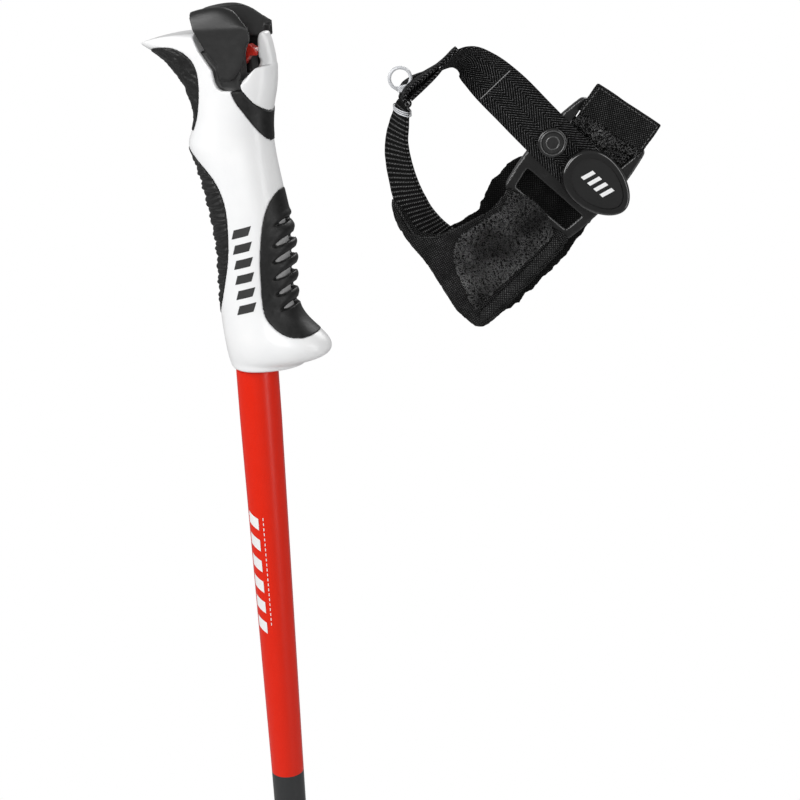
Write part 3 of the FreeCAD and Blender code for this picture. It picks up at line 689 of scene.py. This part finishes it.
def stitches(name, corners, pitch, tree, radius=0.22, cover=0.62):
    """A row of short raised threads laid on a surface along (x, y) strap-plane corners."""
    line = []
    for x, y in densely(corners, 1.0):
        line.append(Vector((x, y, surface_height(tree, x, y, 8.0) + radius * 0.6)))
    meshes = []
    travelled = 0.0
    marks = []
    for a, b in zip(line, line[1:]):
        length = (b - a).length
        while travelled < length:
            marks.append((a.lerp(b, travelled / length), (b - a).normalized()))
            travelled += pitch
        travelled -= length
    for place, along in marks:
        half = along * pitch * cover / 2
        rise = Vector((0, 0, radius * 0.8))
        crown = place + rise * 0.3
        path = [place - half - rise, crown - half * 0.6, crown + half * 0.6, place + half - rise]
        meshes.append(tube("stitch", [strap(*p) for p in path], radius * MM, 6))
    return joined(name, meshes)


def puffed(node, voxel, pressure, cap, wrinkle):
    """A soft panel: remeshed, inflated by a short cloth run, held near its start, then wrinkled."""
    mesh = from_node(node, voxel, 2)
    rest = [vertex.co.copy() for vertex in mesh.vertices]
    panel = bpy.data.objects.new(node + "_cloth", mesh)
    scene.collection.objects.link(panel)
    cloth = panel.modifiers.new("cloth", "CLOTH")
    cloth.settings.use_pressure = True
    cloth.settings.uniform_pressure_force = pressure
    cloth.settings.effector_weights.gravity = 0
    cloth.settings.quality = 5
    cloth.settings.mass = 0.2
    cloth.point_cache.frame_start = 1
    cloth.point_cache.frame_end = CLOTH_FRAMES
    for number in range(1, CLOTH_FRAMES + 1):
        scene.frame_set(number)
    mesh = bake(panel)
    bpy.data.objects.remove(panel)
    for vertex, start in zip(mesh.vertices, rest):
        move = vertex.co - start
        if move.length > cap * MM:
            vertex.co = start + move.normalized() * cap * MM
    mesh.update()
    push(mesh, wrinkle)
    return mesh


def crinkle(point, normal):
    """Soft creases of the inner layer."""
    place = strap_local(point)
    broad = 1 - abs(noise.noise(Vector((place.x * 0.10, place.y * 0.16, 2.0)))) * 2.6
    fine = noise.noise(Vector((place.x * 0.4, place.y * 0.4, 5.0)))
    return (0.85 * broad + 0.25 * fine - 0.3) * MM


def band_folds(point, normal):
    """Shallow wrinkles of the outer band."""
    place = strap_local(point)
    broad = noise.noise(Vector((place.x * 0.09, place.y * 0.09, 8.0)))
    fine = noise.noise(Vector((place.x * 0.35, place.y * 0.35, 3.0)))
    return (0.55 * broad + 0.15 * fine) * MM


# Stations along each strap: x, y and z in strap-plane millimetres, then the roll in degrees.
THUMB_PATH = [(68.6, 112.5, 0.0, 0), (75.0, 118.0, 0.0, 0), (81.0, 121.8, 0.4, 8),
              (87.0, 125.6, 1.4, 24), (92.5, 125.6, 3.0, 44), (97.5, 121.8, 4.8, 60),
              (103.2, 116.2, 6.2, 74), (110.0, 109.2, 7.0, 86), (117.0, 101.4, 7.1, 90),
              (126.0, 91.6, 7.1, 90), (135.0, 82.2, 7.1, 90), (141.0, 76.0, 7.1, 90)]
FOLD_PATH = [(67.8, 109.8, 0.0, 0), (66.4, 112.4, 0.0, 0), (67.4, 115.6, 0.0, 0), (71.2, 118.6, 0.0, 2),
             (76.4, 121.4, 0.2, 6), (82.4, 125.2, 0.6, 8), (89.0, 130.4, 1.0, 8)]
BAND_PATH = [(67.4, 109.6, 0.0, 4), (66.2, 108.2, 0.0, 8), (64.8, 103.0, 0.0, 14), (63.4, 97.0, 0.0, 20),
             (63.0, 91.0, 0.0, 26), (63.6, 84.0, 0.2, 32), (65.2, 77.0, 0.2, 37), (67.6, 70.0, 0.1, 42),
             (70.8, 63.4, 0.0, 46), (75.6, 56.6, 0.4, 52), (81.0, 51.0, 1.0, 58)]

# Outlines in the strap plane, as (x, y) in millimetres.
PIPING = [(59.6, 72.6), (61.6, 69.0), (64.6, 63.0), (68.0, 57.4), (72.6, 55.6), (78.0, 56.2), (83.6, 58.0),
          (90.9, 61.0), (96.6, 63.6)]
GUSSET = [(60.4, 71.6), (63.6, 68.4), (67.4, 61.6), (71.2, 57.4), (78.2, 56.2), (82.0, 53.0), (72.0, 50.0),
          (66.0, 54.4), (61.6, 61.6)]
TAIL = [(133.0, 102.6), (148.0, 92.6), (161.6, 83.6), (154.0, 72.0), (140.0, 76.0), (124.6, 92.6)]


def fuzz(name, mesh, count, reach, thickness, seed):
    """Tiny fibre arcs standing on the viewer's side of a pile surface."""
    dice = random.Random(seed)
    faces = [poly for poly in mesh.polygons if poly.normal.dot(NEAR) > 0.6]
    verts, quads = [], []
    for _ in range(count):
        foot = dice.choice(faces).center
        turn = dice.uniform(0, 2 * math.pi)
        along = RIGHT * math.cos(turn) + Vector((0, 0, 1)) * math.sin(turn)
        span = reach * dice.uniform(0.5, 1.2) * MM
        rise = reach * dice.uniform(0.35, 0.8) * MM
        side = along.cross(NEAR) * thickness * MM
        for k in range(6):
            t = k / 5
            centre = foot + along * span * (t - 0.5) + NEAR * rise * math.sin(math.pi * t)
            lift = NEAR * thickness * MM
            verts += [centre - side, centre + lift, centre + side]
        first = len(verts) - 18
        for k in range(5):
            a = first + 3 * k
            quads += [(a, a + 1, a + 4, a + 3), (a + 1, a + 2, a + 5, a + 4), (a + 2, a, a + 3, a + 5)]
        quads += [(first, first + 2, first + 1), (first + 15, first + 16, first + 17)]
    out = bpy.data.meshes.new(name)
    out.from_pydata(verts, [], quads)
    out.update()
    return out


def slit(mesh):
    """Open a strap along its middle near the pin, where the loop's neck turns."""
    cutter = bmesh.new()
    upright = NEAR.to_track_quat("Z", "Y").to_matrix().to_4x4()
    radius = LOOP_ROOM_R * MM
    bmesh.ops.create_cone(cutter, cap_ends=True, segments=48, radius1=radius, radius2=radius,
                          depth=2 * LOOP_ROOM_HALF * MM, matrix=Matrix.Translation(SWIVEL) @ upright)
    room = bpy.data.meshes.new("loop_room")
    cutter.to_mesh(room)
    cutter.free()
    tool = bpy.data.objects.new("loop_room", room)
    strip = bpy.data.objects.new("strip", mesh)
    scene.collection.objects.link(tool)
    scene.collection.objects.link(strip)
    cut = strip.modifiers.new("cut", "BOOLEAN")
    cut.operation = "DIFFERENCE"
    cut.solver = "EXACT"
    cut.object = tool
    out = bake(strip)
    bpy.data.objects.remove(strip)
    bpy.data.objects.remove(tool)
    bpy.data.meshes.remove(room)
    return out


def build_webbing(mats):
    thumb = slit(ribbon("thumb_webbing_weave", THUMB_PATH, 20.0, 1.4))
    new_piece("thumb_webbing_weave", thumb, mats["webbing"], "strap", "thumb_webbing")
    tree = surface_tree(thumb)
    seam = stitches("webbing_seam", [(97.4, 110.6), (108.9, 121.8)], 1.05, tree, 0.20, 0.85)
    new_piece("webbing_seam", seam, mats["seam"], "strap")
    fold = slit(ribbon("webbing_fold", FOLD_PATH, 19.0, 1.5, 0.3))
    new_piece("webbing_fold", fold, mats["webbing"], "strap")
    band = ribbon("thumb_band_knit", BAND_PATH, 18.0, 1.8, 0.25)
    new_piece("thumb_band_knit", band, mats["knit"], "strap", "thumb_band")


def build_wrist(mats):
    front = puffed("wrist_band", 1.0, 1.5, 1.3, band_folds)
    new_piece("wrist_band_cloth", front, mats["shell"], "strap", "wrist_band")
    lining = puffed("band_lining", 1.2, 2.0, 1.6, crinkle)
    new_piece("band_lining_cloth", lining, mats["lining"], "strap", "band_lining")
    tree = surface_tree(front)

    def draped(node, voxel, rounds):
        mesh = from_node(node, voxel, rounds)
        for vertex in mesh.vertices:
            place = strap_local(vertex.co)
            swell = max(-0.3, surface_height(tree, place.x, place.y, 8.4) - 8.4)
            vertex.co += NEAR * (swell * MM)
        mesh.update()
        return mesh

    patch = draped("loop_patch", 0.7, 3)
    new_piece("loop_patch_pile", patch, mats["pile"], "strap", "loop_patch")
    strands = fuzz("loop_patch_fibres", patch, 4200, 1.3, 0.07, 3)
    new_piece("loop_patch_fibres", strands, mats["fibre"], "strap")
    new_piece("band_binding_tape", draped("band_binding", 0.45, 2), mats["tape"], "strap", "band_binding")
    edge = [strap(x, y, surface_height(tree, x, y, 8.2) + 0.1) for x, y in curve_through(PIPING, 8)]
    new_piece("band_piping", tube("band_piping", edge, 0.55 * MM, 8), mats["tape"], "strap")


def cut_cloth(name, outline, z0, z1, voxel, rounds):
    """Flat cloth panel from an (x, y) outline in the strap plane, remeshed and softened."""
    shape = bmesh.new()
    lower = [shape.verts.new(strap(x, y, z0)) for x, y in outline]
    upper = [shape.verts.new(strap(x, y, z1)) for x, y in outline]
    shape.faces.new(upper)
    shape.faces.new(list(reversed(lower)))
    for i in range(len(outline)):
        j = (i + 1) % len(outline)
        shape.faces.new((lower[i], lower[j], upper[j], upper[i]))
    bmesh.ops.recalc_face_normals(shape, faces=shape.faces)
    mesh = bpy.data.meshes.new(name)
    shape.to_mesh(mesh)
    shape.free()
    return softened(mesh, voxel, rounds)


def build_inner_panels(mats):
    """Cloth seen behind the front layer: the gusset at the elastic's foot and the tail in the buckle."""
    gusset = cut_cloth("band_gusset", GUSSET, 4.6, 5.8, 0.5, 3)
    new_piece("band_gusset", gusset, mats["shell"], "strap")
    tail = cut_cloth("band_tail", TAIL, 1.4, 2.7, 0.5, 3)
    new_piece("band_tail", tail, mats["hooks"], "strap")
    strands = fuzz("tail_fibres", tail, 1500, 1.0, 0.06, 5)
    new_piece("tail_fibres", strands, mats["fibre"], "strap")


def build_tab(mats):
    def fold_over(point, normal):
        place = strap_local(point)
        return 0.35 * noise.noise(Vector((place.x * 0.13, place.y * 0.13, 1.0))) * MM

    tab = from_node("wrist_tab", 0.5, 6)
    push(tab, fold_over)
    new_piece("wrist_tab_cloth", tab, mats["tab"], "tab", "wrist_tab")
    hooks = from_node("hook_patch", 0.35, 2)
    new_piece("hook_patch_pile", hooks, mats["hooks"], "tab", "hook_patch")
    strands = fuzz("hook_fibres", hooks, 1500, 0.8, 0.05, 8)
    new_piece("hook_fibres", strands, mats["fibre"], "tab")
    edge = [(138.2, 104.8), (144.6, 112.6), (168.2, 95.6), (161.4, 86.6)]
    thread = stitches("tab_stitches", edge, 1.9, surface_tree(tab), 0.17)
    new_piece("tab_stitches", thread, mats["thread"], "tab")


def build_buckle(mats):
    buckle = from_node("buckle_frame", 0.4, 14)
    new_piece("buckle_skin", buckle, mats["buckle"], "strap", "buckle_frame")


def build_loop(mats):
    """Cord loop with its whipped neck, on the clip body."""
    low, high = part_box("clip_loop")
    top = strap_local(Vector(((low.x + high.x) / 2, (low.y + high.y) / 2, high.z)))
    centre = (65.6, top.y - LOOP_R - CORD_R)
    path = [strap(65.9, 114.3, 0)]
    for k in range(33):
        turn = math.radians(247 - k * 314 / 32)
        path.append(strap(centre[0] + LOOP_R * math.cos(turn), centre[1] + LOOP_R * math.sin(turn), 0))
    path.append(strap(67.5, 114.3, 0))
    cord = tube("loop_cord", path, CORD_R * MM, 14)
    new_piece("loop_cord", cord, mats["cord"], "clip", "clip_loop")
    turns = []
    for k in range(4):
        y = 114.9 + 0.58 * k
        ring = []
        for j in range(24):
            turn = 2 * math.pi * j / 24
            ring.append(strap(66.6 + 2.1 * math.cos(turn), y + 0.2 * math.cos(turn), math.sin(turn)))
        turns.append(tube("wrap", ring, 0.32 * MM, 8, closed=True))
    new_piece("loop_whipping", joined("loop_whipping", turns), mats["cord"], "clip")


def build_fold_wraps(mats):
    """Pale thread turns binding the end of the elastic band below the pin."""
    turns = []
    for k in range(3):
        ring = []
        for j in range(28):
            turn = 2 * math.pi * j / 28
            flat = WRAP_HALF_DEPTH * math.cos(turn)
            y = 107.8 - WRAP_PITCH * k - 0.34 * flat
            ring.append(strap(65.9 + flat, y, WRAP_HALF_WIDTH * math.sin(turn)))
        turns.append(tube("wrap", ring, 0.26 * MM, 8, closed=True))
    new_piece("band_wraps", joined("band_wraps", turns), mats["cord"], "strap")


def build_emblems(mats):
    """Plain slanted bars on the badge and a ring on the snap."""
    root = math.sqrt(0.5)
    cells = []
    for k in range(4):
        rows = []
        for i in range(3):
            row = []
            for j in range(3):
                along = -6.6 + 3.6 * k + 0.9 * j + 0.9 * i
                across = -2.6 + 2.6 * i
                row.append(strap(142.6 + root * (along + across), 74.4 + root * (across - along), 11.56))
            rows.append(row)
        cells.append(rows)
    new_piece("badge_bars", patch_mesh("badge_bars", cells), mats["paint"], "strap")
    rings = []
    for radius in (4.9, 2.6):
        path = []
        for k in range(40):
            turn = k * math.pi / 20
            path.append(strap(125.2 + radius * math.cos(turn), 91.6 + radius * math.sin(turn), 9.85))
        rings.append(tube("ring", path, 0.32 * MM, 8, closed=True))
    new_piece("snap_rings", joined("snap_rings", rings), mats["ring"], "strap")


def paint_nodes(mats):
    """Finishes for the CAD nodes that are shown as they are."""
    finishes = {
        "shaft_tube": "shaft", "shaft_plug": "black", "tip_ferrule": "black", "carbide_tip": "carbide",
        "basket": "black", "basket_collar": "black", "horn_pin": "steel", "cap_stop_pin": "steel",
        "latch_pin": "steel", "cap_spring": "steel", "swivel_pin": "steel",
        "pin_fold": "tab", "badge_cap": "gloss", "badge_insert": "inlay", "badge_rivet": "steel",
        "snap_cap": "lacquer", "snap_button": "black", "snap_post": "steel",
    }
    for node, finish in finishes.items():
        mesh = frame["nodes"][node].data
        mesh.materials.clear()
        mesh.materials.append(mats[finish])


# ---------------------------------------------------------------- studio
def area_light(name, place, target, size, power):
    lamp = bpy.data.lights.new(name, "AREA")
    lamp.shape = "RECTANGLE"
    lamp.size, lamp.size_y = size
    lamp.energy = power
    piece = bpy.data.objects.new(name, lamp)
    scene.collection.objects.link(piece)
    piece.location = place
    piece.rotation_euler = (Vector(target) - Vector(place)).to_track_quat("-Z", "Y").to_euler()
    return piece


def white_to_camera(sh, shader, level):
    """Show pure white to the camera while lighting the scene with shader."""
    glow = sh.node("ShaderNodeEmission", Color=(1, 1, 1, 1), Strength=level)
    mix = sh.node("ShaderNodeMixShader")
    sh.feed(mix, 0, sh.node("ShaderNodeLightPath").outputs["Is Camera Ray"])
    sh.tree.links.new(shader, mix.inputs[1])
    sh.tree.links.new(glow.outputs[0], mix.inputs[2])
    return mix.outputs[0]


def studio():
    mesh = bpy.data.meshes.new("floor")
    mesh.from_pydata([(-15, -15, 0), (15, -15, 0), (15, 15, 0), (-15, 15, 0)], [], [(0, 1, 2, 3)])
    pale = Shader("floor_paper")
    mesh.materials.append(pale.set(Base_Color=colour(0.7), Roughness=0.9))
    output = pale.tree.nodes["Material Output"]
    pale.tree.links.new(white_to_camera(pale, pale.surface.outputs[0], 1.0), output.inputs[0])
    floor = bpy.data.objects.new("floor", mesh)
    scene.collection.objects.link(floor)
    world = bpy.data.worlds.new("studio")
    world.use_nodes = True
    tree = world.node_tree
    light = tree.nodes["Background"]
    light.inputs[0].default_value = (1, 1, 1, 1)
    light.inputs[1].default_value = 0.27
    seen = tree.nodes.new("ShaderNodeBackground")
    seen.inputs[0].default_value = (1, 1, 1, 1)
    mix = tree.nodes.new("ShaderNodeMixShader")
    tree.links.new(tree.nodes.new("ShaderNodeLightPath").outputs["Is Camera Ray"], mix.inputs[0])
    tree.links.new(light.outputs[0], mix.inputs[1])
    tree.links.new(seen.outputs[0], mix.inputs[2])
    tree.links.new(mix.outputs[0], tree.nodes["World Output"].inputs[0])
    scene.world = world
    focus = (0.03, 0.0, GRIP_BASE + 0.02)
    area_light("key", (-0.9, -0.8, GRIP_BASE + 0.7), focus, (0.6, 1.2), 17)
    area_light("front", (0.25, -1.4, GRIP_BASE + 0.5), focus, (0.7, 0.7), 9)
    area_light("fill", (1.2, -0.5, GRIP_BASE + 0.1), focus, (0.35, 1.4), 6)
    area_light("rim", (0.3, 1.0, GRIP_BASE + 0.8), focus, (1.0, 0.6), 8)
    scene.view_settings.view_transform = "Standard"


def camera():
    turn = math.radians(CAMERA_TURN)
    down = math.radians(CAMERA_DOWN)
    roll = math.radians(CAMERA_ROLL)
    ahead = Vector((-math.sin(turn) * math.cos(down), math.cos(turn) * math.cos(down), -math.sin(down)))
    level_side = Vector((math.cos(turn), math.sin(turn), 0))
    level_top = level_side.cross(ahead)
    side = level_side * math.cos(roll) + level_top * math.sin(roll)
    top = level_top * math.cos(roll) - level_side * math.sin(roll)
    lens = bpy.data.cameras.new("view")
    lens.sensor_width = 36
    lens.lens = FOCAL_LENGTH
    lens.clip_end = 60
    view = bpy.data.objects.new("view", lens)
    scene.collection.objects.link(view)
    facing = Matrix((side, top, -ahead)).transposed().to_4x4()
    view.matrix_world = Matrix.Translation(CAMERA_PLACE) @ facing
    scene.camera = view


def main():
    mats = make_materials()
    shell = build_grip(mats)
    paint_nodes(mats)
    build_shaft_marks(mats)
    build_grip_marks(mats, shell)
    build_webbing(mats)
    build_wrist(mats)
    build_inner_panels(mats)
    build_tab(mats)
    build_buckle(mats)
    build_loop(mats)
    build_fold_wraps(mats)
    build_emblems(mats)
    studio()
    camera()


main()
